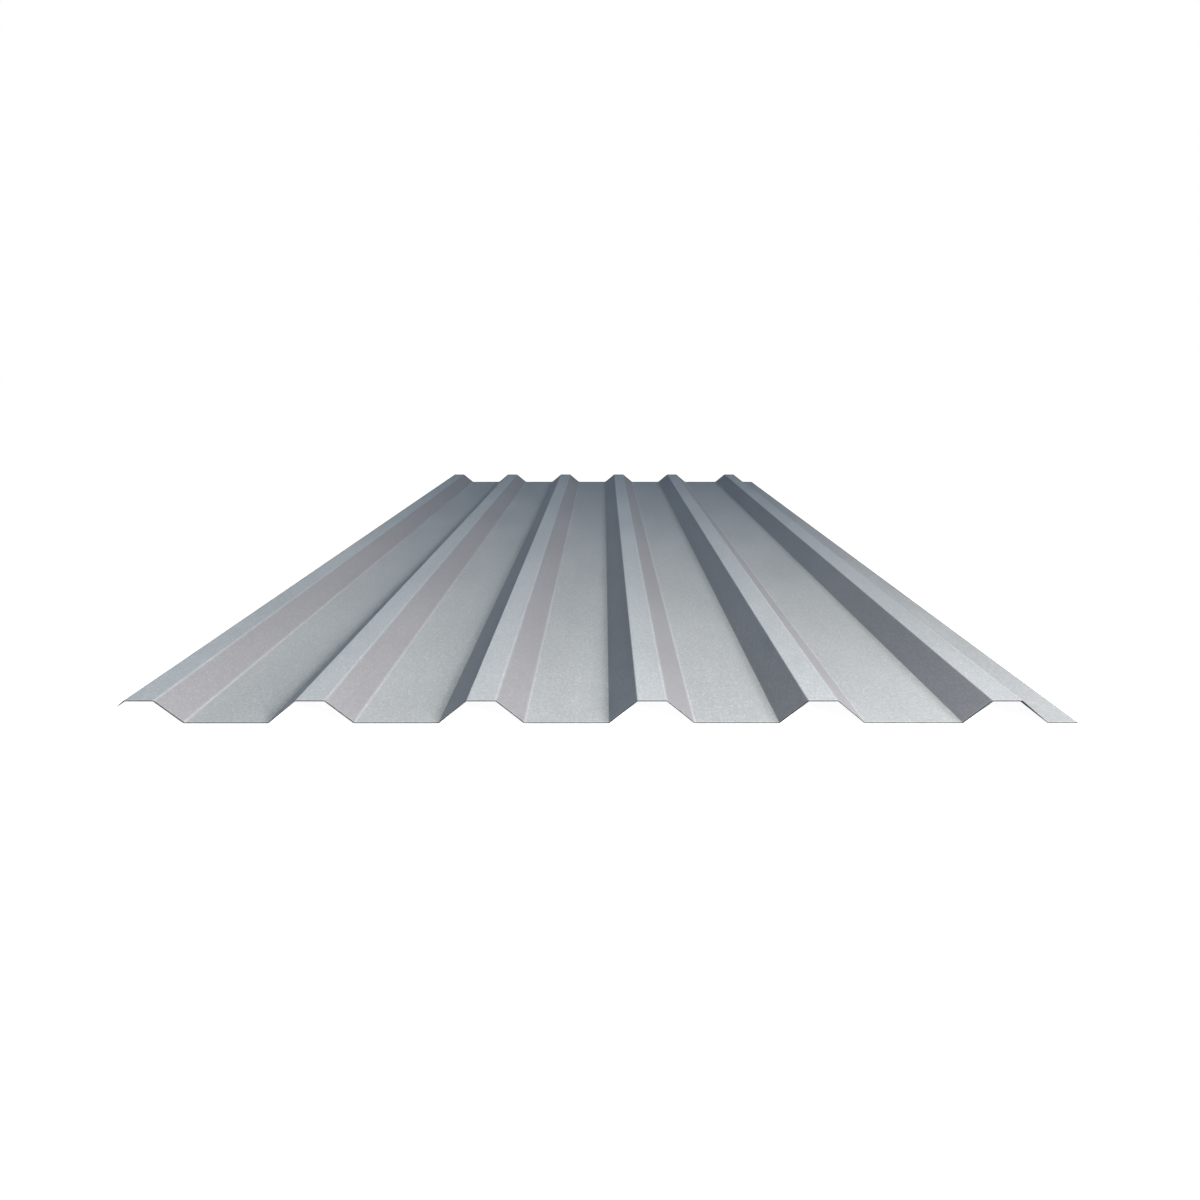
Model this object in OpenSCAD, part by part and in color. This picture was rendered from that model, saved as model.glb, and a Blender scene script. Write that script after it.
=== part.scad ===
// Corrugated metal sheet for roofs and walls, with a trapezoidal profile.
// One strip of zinc-coated steel is rolled into flat-topped ribs with wide flat pans between them.
// The left edge is the overlap: its rib ends in a short turned-down lip.
// The right edge is the underlap: its rib comes down to a flat toe that the next sheet covers.
// The sheet lies on its pans with its ribs along Y, and Z is up.

/* [Sheet] */
// Length of the sheet along its ribs
sheet_len = 2440; // [1000:10:6000]
// Thickness of the strip
sheet_t = 0.7; // [0.4:0.05:1.5]

/* [Ribs] */
// Number of ribs across the sheet
rib_count = 6; // [2:1:9]
// Distance from the middle of one rib to the middle of the next
rib_pitch = 197; // [160:1:260]
// Distance between the last two ribs, whose pan is wider at the underlap
lap_pitch = 212; // [160:1:280]
// Depth of the profile, from pan to crown on the same face of the strip
rib_depth = 27; // [15:0.5:45]
// Width of the flat crown, between its fold lines
crown_w = 34; // [24:1:50]
// Width of a rib at the pans, between its fold lines
rib_base_w = 99; // [70:1:130]

/* [Edges] */
// Length of the turned-down lip on the overlap edge, from its fold line
lip_len = 10; // [6:0.5:20]
// Width of the flat toe on the underlap edge, from its fold line
toe_w = 35; // [10:1:60]

/* [Bends] */
// Radius on the inside of each bend
bend_r = 2; // [1:0.25:4]
// Number of steps that each bend turns in
bend_steps = 8; // [2:1:16]

/* [Hidden] */

sheet_colour = [0.64, 0.66, 0.68];

// The section is drawn along the middle of the strip's thickness.
half_t = sheet_t / 2;
mid_r = bend_r + half_t;
pan_z = half_t;
crown_z = pan_z + rib_depth;
crown_half = crown_w / 2;
base_half = rib_base_w / 2;
last_rib = rib_count - 1;

// A web is the sloping side of a rib.
web_run = base_half - crown_half;
web_angle = atan2(rib_depth, web_run);

// The strip's two faces, as offsets to the left of its run from lip to toe.
upper = 1;
lower = -1;

function along(angle) = [cos(angle), sin(angle)];
function across(angle) = [-sin(angle), cos(angle)];
function reversed(points) = [for (i = [len(points) - 1:-1:0]) points[i]];

// Middle of each rib, counted from the overlap rib.
function rib_x(rib) = rib < last_rib ? rib * rib_pitch : (last_rib - 1) * rib_pitch + lap_pitch;

// Fold lines of one rib, from its left foot to its right foot.
function left_foot(x) = [x - base_half, pan_z];
function crown_folds(x) = [[x - crown_half, crown_z], [x + crown_half, crown_z]];
function right_foot(x) = [x + base_half, pan_z];

// The strip's whole run, from the lip's edge through every fold to the toe's edge.
lip_edge = crown_folds(0)[0] - lip_len * along(web_angle);
toe_edge = right_foot(rib_x(last_rib)) + [toe_w, 0];
folds = [
    lip_edge,
    each crown_folds(0),
    right_foot(0),
    for (rib = [1:last_rib])
        let (x = rib_x(rib))
            each [left_foot(x), each crown_folds(x), right_foot(x)],
    toe_edge
];
last_fold = len(folds) - 1;

// Direction of the flat that runs from one fold to the next.
function heading(i) =
    let (run = folds[i + 1] - folds[i])
        atan2(run[1], run[0]);

// One face of the strip round a fold: an arc that is tangent to the flats on both sides.
function bend(i, face) =
    let (
        start = heading(i - 1),
        turn = heading(i) - start,
        way = sign(turn),
        setback = mid_r * tan(abs(turn) / 2),
        centre = folds[i] - setback * along(start) + way * mid_r * across(start),
        face_r = face * half_t - way * mid_r
    )
        [for (k = [0:bend_steps]) centre + face_r * across(start + turn * k / bend_steps)];

// One face of the whole strip, with square-cut edges.
function strip_face(face) = [
    folds[0] + face * half_t * across(heading(0)),
    for (i = [1:last_fold - 1])
        each bend(i, face),
    folds[last_fold] + face * half_t * across(heading(last_fold - 1))
];

section = concat(strip_face(upper), reversed(strip_face(lower)));
section_x = [for (point = section) point[0]];
centre_x = (min(section_x) + max(section_x)) / 2;

module sheet() {
    color(sheet_colour)
        translate([-centre_x, 0, 0])
            rotate([90, 0, 0])
                linear_extrude(height = sheet_len, center = true)
                    polygon(section);
}

sheet();
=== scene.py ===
"""Looks of a corrugated metal sheet: one roll-formed strip of zinc-coated steel, lying flat in a plain studio."""

import logging
import math
from dataclasses import dataclass
from enum import Enum
from typing import Mapping, Optional, Union

import bpy
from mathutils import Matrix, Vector


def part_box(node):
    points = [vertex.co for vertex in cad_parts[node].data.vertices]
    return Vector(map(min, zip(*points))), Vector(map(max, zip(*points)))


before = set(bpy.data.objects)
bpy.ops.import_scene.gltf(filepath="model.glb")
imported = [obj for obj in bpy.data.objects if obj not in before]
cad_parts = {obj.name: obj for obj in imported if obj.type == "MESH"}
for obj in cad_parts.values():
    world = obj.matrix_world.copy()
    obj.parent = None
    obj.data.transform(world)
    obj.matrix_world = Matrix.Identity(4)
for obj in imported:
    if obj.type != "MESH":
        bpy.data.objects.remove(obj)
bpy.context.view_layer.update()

MM = 0.001
PHOTO_SIDE_PX = 1200

# Middle of a pattern that runs from 0 to 1.
MIDDLE = 0.5
# Sockets of a Mix node on colours, by number because their names repeat.
MIX_FACTOR, MIX_FIRST, MIX_SECOND, MIX_RESULT = 0, 6, 7, 2

log = logging.getLogger("sheet")

Triple = tuple[float, float, float]
Number = Union[float, "Value"]


class Ray(Enum):
    """Kinds of light path that see the white of the studio."""

    CAMERA = "Is Camera Ray"
    GLOSSY = "Is Glossy Ray"
    TRANSMISSION = "Is Transmission Ray"


class Axis(Enum):
    """Axes of the sheet, as the outputs of a Separate XYZ node."""

    ACROSS = "X"
    ALONG = "Y"
    UP = "Z"


class Facing(Enum):
    """Ways that a dark flag stands, as its turn in degrees."""

    ACROSS_THE_RIBS = (90.0, 0.0, 0.0)
    ALONG_THE_RIBS = (90.0, 0.0, 90.0)


class Value:
    """A shader socket in a Python expression: each operator adds its Math node."""

    def __init__(self, bench: "Bench", socket: bpy.types.NodeSocket) -> None:
        """Keeps the socket and the bench that its tree belongs to.

        Args:
            bench: The bench that new nodes are added on.
            socket: The output socket that this value stands for.
        """
        self.bench = bench
        self.socket = socket

    def maths(self, operation: str, *others: Number) -> "Value":
        """Adds one Math node with this value as its first input.

        Args:
            operation: The Math node's operation.
            others: The remaining inputs, as numbers or values.

        Returns:
            The node's result.
        """
        inputs = dict(enumerate((self, *others)))
        return self.bench.add("ShaderNodeMath", {"operation": operation}, inputs)

    def __add__(self, other: Number) -> "Value":
        """Sum."""
        return self.maths("ADD", other)

    __radd__ = __add__

    def __sub__(self, other: Number) -> "Value":
        """Difference."""
        return self.maths("SUBTRACT", other)

    def __rsub__(self, other: float) -> "Value":
        """A number less this value."""
        return self.bench.add("ShaderNodeMath", {"operation": "SUBTRACT"}, {0: other, 1: self})

    def __mul__(self, other: Number) -> "Value":
        """Product."""
        return self.maths("MULTIPLY", other)

    __rmul__ = __mul__

    def __abs__(self) -> "Value":
        """Size without its sign."""
        return self.maths("ABSOLUTE")

    def over(self, edge: Number) -> "Value":
        """1 where this value is greater than edge, else 0."""
        return self.maths("GREATER_THAN", edge)

    def least(self, other: Number) -> "Value":
        """The smaller of two values."""
        return self.maths("MINIMUM", other)

    def step(self, start: float, end: float) -> "Value":
        """A smooth step up from 0 at start to 1 at end.

        Args:
            start: The value at which the step starts.
            end: The value at which it has ended, which may be the smaller one.

        Returns:
            The step, from 0 to 1.
        """
        low, high = min(start, end), max(start, end)
        first, last = (0.0, 1.0) if start < end else (1.0, 0.0)
        return self.bench.add(
            "ShaderNodeMapRange",
            {"interpolation_type": "SMOOTHSTEP"},
            {"Value": self, "From Min": low, "From Max": high, "To Min": first, "To Max": last},
            "Result",
        )


class Bench:
    """A node tree that a finish is put together on."""

    def __init__(self, tree: bpy.types.NodeTree) -> None:
        """Empties the tree.

        Args:
            tree: The node tree of a material or of the world.
        """
        self.tree = tree
        tree.nodes.clear()

    def add(
        self,
        kind: str,
        settings: Optional[Mapping[str, object]] = None,
        inputs: Optional[Mapping[Union[str, int], object]] = None,
        output: Union[str, int] = 0,
    ) -> Optional[Value]:
        """Adds one node.

        Args:
            kind: The node's type name.
            settings: Properties that are set before the sockets, such as an operation.
            inputs: Sockets by name or number, each with a value to set or a Value to link.
            output: The output to hand back.

        Returns:
            The chosen output, or None from a node that has none.
        """
        node = self.tree.nodes.new(kind)
        for name, setting in (settings or {}).items():
            setattr(node, name, setting)
        for name, given in (inputs or {}).items():
            socket = node.inputs[name]
            if isinstance(given, Value):
                self.tree.links.new(given.socket, socket)
            elif socket.type == "RGBA":
                socket.default_value = (*given, 1.0)
            else:
                socket.default_value = given
        return Value(self, node.outputs[output]) if node.outputs else None

    def mix(self, factor: Value, low: Union[Triple, Value], high: Union[Triple, Value]) -> Value:
        """Mixes two colours.

        Args:
            factor: 0 for the first colour, 1 for the second.
            low: The first colour.
            high: The second colour.

        Returns:
            The mixed colour.
        """
        inputs = {MIX_FACTOR: factor, MIX_FIRST: low, MIX_SECOND: high}
        return self.add("ShaderNodeMix", {"data_type": "RGBA"}, inputs, MIX_RESULT)

    def shade(self, colour: Union[Triple, Value], level: Value) -> Value:
        """Multiplies a colour by a level, 1 leaving it as it is.

        Args:
            colour: The colour.
            level: The level.

        Returns:
            The lighter or darker colour.
        """
        settings = {"data_type": "RGBA", "blend_type": "MULTIPLY"}
        inputs = {MIX_FACTOR: 1.0, MIX_FIRST: colour, MIX_SECOND: level}
        return self.add("ShaderNodeMix", settings, inputs, MIX_RESULT)

    def vectors(self, operation: str, first: Union[Triple, Value], second: Union[Triple, Value]) -> Value:
        """Adds one Vector Math node on two vectors.

        Args:
            operation: The node's operation.
            first: The first vector.
            second: The second vector.

        Returns:
            The resulting vector.
        """
        return self.add("ShaderNodeVectorMath", {"operation": operation}, {0: first, 1: second})

    def scaled(self, place: Value, size: Triple) -> Value:
        """Coordinates in which a pattern of unit size gets the given size along each axis."""
        return self.add("ShaderNodeMapping", inputs={"Vector": place, "Scale": tuple(1.0 / side for side in size)})

    def noise(self, place: Value, size: Triple, detail: float) -> Value:
        """Soft noise with its own size along each axis.

        Args:
            place: Object coordinates.
            size: Size of its patches along each axis, in metres.
            detail: Number of finer layers.

        Returns:
            The noise, about 0.
        """
        inputs = {"Vector": self.scaled(place, size), "Scale": 1.0, "Detail": detail}
        return self.add("ShaderNodeTexNoise", inputs=inputs) - MIDDLE

    def cells(self, place: Value, size: Triple) -> Value:
        """Cells with a random colour each, and their own size along each axis.

        Args:
            place: Object coordinates.
            size: Size of the cells along each axis, in metres.

        Returns:
            The cells' colours.
        """
        inputs = {"Vector": self.scaled(place, size), "Scale": 1.0}
        return self.add("ShaderNodeTexVoronoi", inputs=inputs, output="Color")

    def seen(self) -> Value:
        """1 for the rays that see the studio's white, else 0."""
        camera, glossy, through = (self.add("ShaderNodeLightPath", output=ray.value) for ray in Ray)
        return camera + glossy + through


@dataclass
class SheetMap:
    """Where a point lies on the sheet: its object coordinates, and a mask for each place that the finish follows."""

    place: Value
    crown: Value
    web: Value
    fold: Value
    valley: Value
    rim: Value
    shear: Value
    cut: Value
    back: Value


@dataclass
class RoofSheet:
    """The sheet: the sizes of its section that the finish follows, in metres."""

    node: str = "sheet"
    first_rib_x: float = -529.792 * MM
    last_rib_x: float = 470.208 * MM
    rib_pitch: float = 197.0 * MM
    last_pan_x: float = 364.2 * MM
    crown_half: float = 17.0 * MM
    base_half: float = 49.5 * MM
    bend_half: float = 1.2 * MM
    fold_reach: float = 2.8 * MM
    valley_reach: float = 14.0 * MM
    rim_reach: float = 6.5 * MM
    shear_reach: float = 2.6 * MM
    edge_reach: float = 0.45 * MM
    back_from: float = -0.2
    back_full: float = -0.4

    def dress(self, finish: "ZincFinish") -> bpy.types.Object:
        """Puts the finish on the sheet.

        Args:
            finish: The coating.

        Returns:
            The sheet's object.
        """
        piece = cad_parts[self.node]
        piece.data.materials.clear()
        piece.data.materials.append(finish.material(self))
        return piece

    def map(self, bench: Bench) -> SheetMap:
        """Adds the masks that the finish follows.

        Args:
            bench: The material's bench.

        Returns:
            The masks.
        """
        place = bench.add("ShaderNodeTexCoord", output="Object")
        across, along = (
            bench.add("ShaderNodeSeparateXYZ", inputs={"Vector": place}, output=axis.value)
            for axis in (Axis.ACROSS, Axis.ALONG)
        )
        from_rib = self.from_rib(across)
        on_right = from_rib.over(0.0)
        off_crown = abs(from_rib) - self.crown_half
        off_pan = abs(from_rib) - self.base_half
        on_pan = off_pan.step(-self.bend_half, self.bend_half)
        _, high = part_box(self.node)
        end, side = high.y - abs(along), high.x - abs(across)
        normal = bench.add("ShaderNodeNewGeometry", output="Normal")
        upward = bench.add("ShaderNodeSeparateXYZ", inputs={"Vector": normal}, output=Axis.UP.value)
        return SheetMap(
            place=place,
            crown=off_crown.step(self.bend_half, -self.bend_half),
            web=off_crown.step(-self.bend_half, self.bend_half) * (1.0 - on_pan),
            # Folds on the right of each rib only: they get a painted highlight and a lower roughness.
            fold=abs(off_crown).least(abs(off_pan)).step(self.fold_reach, 0.0) * on_right,
            # Pan beside the foot of each left-facing web, where painted shade falls.
            valley=off_pan.step(self.valley_reach, 0.0) * on_pan * (1.0 - on_right),
            # Band near the cut ends that gets a painted highlight.
            rim=end.step(self.rim_reach, self.shear_reach),
            shear=end.step(self.shear_reach, self.shear_reach / 2),
            cut=end.least(side).step(self.edge_reach, self.edge_reach / 2),
            back=upward.step(self.back_from, self.back_full),
        )

    def from_rib(self, across: Value) -> Value:
        """Distance to the right of the nearest rib's middle, where the last rib stands further off than the rest.

        Args:
            across: The coordinate across the sheet.

        Returns:
            The distance, which is negative to the left.
        """
        even = (across - self.first_rib_x).maths("WRAP", self.rib_pitch / 2, -self.rib_pitch / 2)
        return even + across.over(self.last_pan_x) * (across - self.last_rib_x - even)


@dataclass(frozen=True)
class ZincFinish:
    """Matt zinc coating with a fine metallic grain, with painted light on its crowns, folds and cut ends, painted
    shade on its webs and valleys, and a dark grey wash on the back that is partly painted shade.

    A tone is how far a mark lightens or darkens the coat, and a gloss how far it changes the roughness.
    """

    name: str = "zinc_steel"
    pan_coat: Triple = (0.632, 0.676, 0.678)
    # Crowns a little lighter and bluer than the pans: painted light.
    lit_crown_coat: Triple = (0.662, 0.714, 0.728)
    # Webs darker than pans and crowns: painted shade for faces that slope away from the light.
    shaded_web_coat: Triple = (0.430, 0.440, 0.455)
    # Grey wash on the back, made dark as painted shade for the shadowed underside.
    back_wash_and_shade: Triple = (0.09, 0.09, 0.095)
    cut_steel: Triple = (0.045, 0.043, 0.042)
    # Painted highlight along the right-hand folds.
    fold_highlight: float = 0.24
    # Painted shade in the pans at the foot of the left-facing webs.
    valley_shade: float = 0.20
    # Painted highlight in a band near the cut ends.
    rim_highlight: float = 0.14
    # Darker band along the cut ends.
    shear_tone: float = 0.72
    grain_tone: float = 0.16
    spark_tone: float = 0.08
    cloud_tone: float = 0.10
    line_tone: float = 0.06
    wash_tone: float = 0.5
    spark_from: float = 0.36
    spark_full: float = 0.46
    metallic: float = 0.60
    roughness: float = 0.50
    grain_gloss: float = 0.12
    cloud_gloss: float = 0.12
    line_gloss: float = 0.06
    fold_gloss: float = 0.08
    cut_gloss: float = 0.12
    wash_roughness: float = 0.9
    grain: Triple = (1.4 * MM, 2.8 * MM, 1.4 * MM)
    grain_tilt: float = 0.016
    cloud: Triple = (110.0 * MM, 320.0 * MM, 110.0 * MM)
    cloud_layers: float = 3.0
    line: Triple = (3.0 * MM, 900.0 * MM, 3.0 * MM)
    line_layers: float = 2.0
    line_strength: float = 0.05
    line_depth: float = 0.3 * MM

    def material(self, sheet: RoofSheet) -> bpy.types.Material:
        """Makes the sheet's material.

        Args:
            sheet: The sheet, whose folds and cut edges the finish follows.

        Returns:
            The material.
        """
        made = bpy.data.materials.new(self.name)
        made.use_nodes = True
        bench = Bench(made.node_tree)
        spot = sheet.map(bench)
        crystals = bench.cells(spot.place, self.grain)
        grain = bench.add("ShaderNodeSeparateColor", inputs={"Color": crystals}, output="Red") - MIDDLE
        cloud = bench.noise(spot.place, self.cloud, self.cloud_layers)
        line = bench.noise(spot.place, self.line, self.line_layers)
        matt = self.roughness + grain * self.grain_gloss + cloud * self.cloud_gloss + line * self.line_gloss
        inputs = {
            "Base Color": self.colour(bench, spot, grain, cloud, line),
            "Metallic": self.metallic,
            "Roughness": matt - spot.fold * self.fold_gloss + spot.cut * self.cut_gloss,
            "Normal": self.relief(bench, crystals, line),
        }
        face = bench.add("ShaderNodeBsdfPrincipled", inputs=inputs, output="BSDF")
        streaks = 1.0 + (cloud + line + grain) * self.wash_tone
        wash = {
            # The back wash's dark tone is partly painted shade.
            "Base Color": bench.shade(self.back_wash_and_shade, streaks),
            "Roughness": self.wash_roughness,
            "Specular IOR Level": 0.0,
        }
        back = bench.add("ShaderNodeBsdfPrincipled", inputs=wash, output="BSDF")
        both = bench.add("ShaderNodeMixShader", inputs={0: spot.back, 1: face, 2: back})
        bench.add("ShaderNodeOutputMaterial", inputs={"Surface": both})
        return made

    def colour(self, bench: Bench, spot: SheetMap, grain: Value, cloud: Value, line: Value) -> Value:
        """The coating's colour: the pans' tone, crowns painted lighter as painted light, and webs painted darker as
        painted shade.

        It has a painted highlight on the right-hand folds and near the cut ends, painted shade in the pans at the
        foot of the left-facing webs, a darker band along the shear, and bare steel at the cuts.

        Args:
            bench: The material's bench.
            spot: The sheet's masks.
            grain: The crystals' own tones, about 0.
            cloud: Soft clouding, about 0.
            line: Fine rolling lines, about 0.

        Returns:
            The colour.
        """
        # Painted highlight on the right-hand folds and near the cut ends.
        highlit = 1.0 + spot.fold * self.fold_highlight + spot.rim * self.rim_highlight
        # Painted shade in the valleys, and a darker band along the shear.
        shade_and_shear_dark = spot.valley * self.valley_shade + spot.shear * self.shear_tone
        spark = grain.step(self.spark_from, self.spark_full)
        crystal = grain * self.grain_tone + spark * self.spark_tone
        level = highlit - shade_and_shear_dark + crystal + cloud * self.cloud_tone + line * self.line_tone
        # Crowns get painted light and webs painted shade over the pans' coat.
        coat = bench.mix(spot.web, bench.mix(spot.crown, self.pan_coat, self.lit_crown_coat), self.shaded_web_coat)
        return bench.mix(spot.cut, bench.shade(coat, level), self.cut_steel)

    def relief(self, bench: Bench, crystals: Value, line: Value) -> Value:
        """Tilts each crystal of the coating a little, over faint rolling lines.

        Args:
            bench: The material's bench.
            crystals: A random colour per crystal.
            line: Fine rolling lines, about 0.

        Returns:
            The surface normal.
        """
        lean = bench.vectors("SUBTRACT", crystals, (MIDDLE,) * 3)
        tilt = bench.vectors("MULTIPLY", lean, (self.grain_tilt / MIDDLE,) * 3)
        flat = bench.add("ShaderNodeNewGeometry", output="Normal")
        tilted = bench.add("ShaderNodeVectorMath", {"operation": "NORMALIZE"}, {0: bench.vectors("ADD", flat, tilt)})
        inputs = {"Strength": self.line_strength, "Distance": self.line_depth, "Height": line, "Normal": tilted}
        return bench.add("ShaderNodeBump", inputs=inputs)


@dataclass
class Floor:
    """The pale floor: white to the rays that see it, with the sheet's shadow kept."""

    side: float = 80.0
    drop: float = 0.5 * MM
    paint: Triple = (0.80, 0.80, 0.80)
    near_white: float = 0.965
    near_reach: float = 1.4
    far_reach: float = 3.2

    def build(self) -> bpy.types.Object:
        """Builds the floor just under the sheet.

        Returns:
            The floor.
        """
        made = flat_board("floor", (self.side, self.side), (0.0, 0.0, -self.drop), (0.0, 0.0, 0.0))
        made.data.materials.append(self.material())
        return made

    def material(self) -> bpy.types.Material:
        """Makes the floor's paint, a little darker by itself near the sheet, where the lamps add to it.

        Returns:
            The material.
        """
        made = bpy.data.materials.new("pale_floor")
        made.use_nodes = True
        bench = Bench(made.node_tree)
        place = bench.add("ShaderNodeTexCoord", output="Object")
        off = bench.add("ShaderNodeVectorMath", {"operation": "LENGTH"}, {0: place}, "Value")
        white = self.near_white + off.step(self.near_reach, self.far_reach) * (1.0 - self.near_white)
        inputs = {
            "Base Color": self.paint,
            "Roughness": 1.0,
            "Specular IOR Level": 0.0,
            "Emission Color": bench.seen() * white,
            "Emission Strength": 1.0,
        }
        shader = bench.add("ShaderNodeBsdfPrincipled", inputs=inputs, output="BSDF")
        bench.add("ShaderNodeOutputMaterial", inputs={"Surface": shader})
        return made


@dataclass
class Flag:
    """A dark slate-blue board out of the picture, which the metal mirrors."""

    name: str
    place: Triple
    size: tuple[float, float]
    facing: Facing
    slate: Triple

    def build(self) -> bpy.types.Object:
        """Builds the flag.

        Returns:
            The flag.
        """
        turn = tuple(math.radians(angle) for angle in self.facing.value)
        made = flat_board(self.name, self.size, self.place, turn)
        made.data.materials.append(self.material())
        made.visible_camera = False
        made.visible_shadow = False
        return made

    def material(self) -> bpy.types.Material:
        """Makes the flag's even slate tone.

        Returns:
            The material.
        """
        made = bpy.data.materials.new(self.name)
        made.use_nodes = True
        bench = Bench(made.node_tree)
        shader = bench.add("ShaderNodeEmission", inputs={"Color": self.slate, "Strength": 1.0})
        bench.add("ShaderNodeOutputMaterial", inputs={"Surface": shader})
        return made


@dataclass
class Lamp:
    """A soft lamp: a flat rectangle that gives an even light."""

    name: str
    place: Triple
    aim: Triple
    size: tuple[float, float]
    power: float
    colour: Triple
    spread: float = 180.0
    mirrored: bool = True

    def build(self) -> bpy.types.Object:
        """Builds the lamp.

        Returns:
            The lamp.
        """
        data = bpy.data.lights.new(self.name, "AREA")
        data.shape = "RECTANGLE"
        data.size, data.size_y = self.size
        data.energy = self.power
        data.spread = math.radians(self.spread)
        data.color = self.colour
        made = bpy.data.objects.new(self.name, data)
        bpy.context.scene.collection.objects.link(made)
        made.location = self.place
        made.rotation_euler = (Vector(self.aim) - Vector(self.place)).to_track_quat("-Z", "Y").to_euler()
        made.visible_camera = False
        made.visible_glossy = self.mirrored
        return made


@dataclass
class Studio:
    """A white surround with a soft key, a soft strip overhead, weak side lamps, and dark flags far and left."""

    dim: Triple = (0.0, 0.0, 0.0)
    white: Triple = (1.0, 1.0, 1.0)
    far_flag_y: float = 1.56
    far_flag: tuple[float, float] = (12.0, 1.7)
    far_slate: Triple = (0.070, 0.098, 0.154)
    left_flag_x: float = -2.2
    left_flag_near: float = -2.3
    left_flag_top: float = 4.7
    left_slate: Triple = (0.060, 0.138, 0.222)
    key_place: Triple = (1.25, -2.6, 1.0)
    key_aim: Triple = (-0.3, -1.15, 0.0)
    key_side: float = 0.9
    key_power: float = 66.0
    key_colour: Triple = (1.0, 0.930, 0.920)
    key_spread: float = 125.0
    strip_place: Triple = (-0.21, 2.45, 3.6)
    strip_size: tuple[float, float] = (1.08, 5.8)
    strip_power: float = 3.8
    strip_colour: Triple = (0.90, 0.99, 0.93)
    side_place: Triple = (4.6, 1.1, 1.2)
    side_aim: Triple = (0.0, 0.9, 0.0)
    side_size: tuple[float, float] = (1.6, 1.0)
    side_spread: float = 80.0
    right_power: float = 10.5
    right_colour: Triple = (0.88, 0.97, 1.0)
    left_power: float = 9.5
    left_colour: Triple = (0.86, 1.0, 0.98)

    def build(self) -> list[bpy.types.Object]:
        """Builds the studio.

        Returns:
            The floor, the flags and the lamps.
        """
        self.light_world()
        run = self.far_flag_y - self.left_flag_near
        far_height = self.far_flag[1]
        pieces = (
            Floor(),
            Flag(
                "far_flag",
                (0.0, self.far_flag_y, far_height / 2),
                self.far_flag,
                Facing.ACROSS_THE_RIBS,
                self.far_slate,
            ),
            Flag(
                "left_flag",
                (self.left_flag_x, self.left_flag_near + run / 2, self.left_flag_top / 2),
                (run, self.left_flag_top),
                Facing.ALONG_THE_RIBS,
                self.left_slate,
            ),
            Lamp(
                "key_lamp",
                self.key_place,
                self.key_aim,
                (self.key_side, self.key_side),
                self.key_power,
                self.key_colour,
                self.key_spread,
                mirrored=False,
            ),
            Lamp(
                "strip_lamp",
                self.strip_place,
                (*self.strip_place[:2], 0.0),
                self.strip_size,
                self.strip_power,
                self.strip_colour,
            ),
            Lamp(
                "right_lamp",
                self.side_place,
                self.side_aim,
                self.side_size,
                self.right_power,
                self.right_colour,
                self.side_spread,
                mirrored=False,
            ),
            Lamp(
                "left_lamp",
                (-self.side_place[0], *self.side_place[1:]),
                self.side_aim,
                self.side_size,
                self.left_power,
                self.left_colour,
                self.side_spread,
                mirrored=False,
            ),
        )
        return [piece.build() for piece in pieces]

    def light_world(self) -> None:
        """Makes the surround white to the rays that see it, and dim to the rest."""
        world = bpy.data.worlds.new("studio")
        world.use_nodes = True
        bench = Bench(world.node_tree)
        surround = bench.mix(bench.seen(), self.dim, self.white)
        light = bench.add("ShaderNodeBackground", inputs={"Color": surround, "Strength": 1.0})
        bench.add("ShaderNodeOutputWorld", inputs={"Surface": light})
        bpy.context.scene.world = world


@dataclass
class Viewpoint:
    """The photograph's camera, at a low height before the near end."""

    place: Triple = (5.35 * MM, -2224.3 * MM, 393.9 * MM)
    level: float = 90.0
    down: float = 13.808
    focal_px: float = 924.6
    shift_px: float = -3.64
    sensor: float = 36.0
    nearest: float = 0.05
    farthest: float = 200.0

    def build(self) -> bpy.types.Object:
        """Makes the camera and hands it to the scene.

        Returns:
            The camera.
        """
        data = bpy.data.cameras.new("camera")
        data.sensor_width = self.sensor
        data.lens = self.focal_px * self.sensor / PHOTO_SIDE_PX
        data.shift_x = self.shift_px / PHOTO_SIDE_PX
        data.clip_start = self.nearest
        data.clip_end = self.farthest
        made = bpy.data.objects.new("camera", data)
        bpy.context.scene.collection.objects.link(made)
        made.location = self.place
        made.rotation_euler = (math.radians(self.level - self.down), 0.0, 0.0)
        bpy.context.scene.camera = made
        return made


def flat_board(name: str, size: tuple[float, float], place: Triple, turn: Triple) -> bpy.types.Object:
    """Adds a flat rectangle with its place and turn in its mesh.

    Args:
        name: The object's name.
        size: Width and height.
        place: Centre.
        turn: Euler angles.

    Returns:
        The rectangle.
    """
    bpy.ops.object.select_all(action="DESELECT")
    bpy.ops.mesh.primitive_plane_add(size=1.0, location=place, rotation=turn)
    made = bpy.context.active_object
    made.name = name
    made.scale = (*size, 1.0)
    bpy.ops.object.transform_apply(location=True, rotation=True, scale=True)
    return made


def main() -> None:
    """Builds the view, the studio and the sheet's looks."""
    logging.basicConfig(level=logging.INFO, format="%(name)s: %(message)s")
    bpy.context.scene.view_settings.view_transform = "Standard"
    camera = Viewpoint().build()
    log.info("camera at %s", tuple(round(part, 3) for part in camera.location))
    for piece in Studio().build():
        log.info("studio piece %s", piece.name)
    sheet = RoofSheet().dress(ZincFinish())
    log.info("%s dressed, with %d faces", sheet.name, len(sheet.data.polygons))


if __name__ == "__main__":
    main()
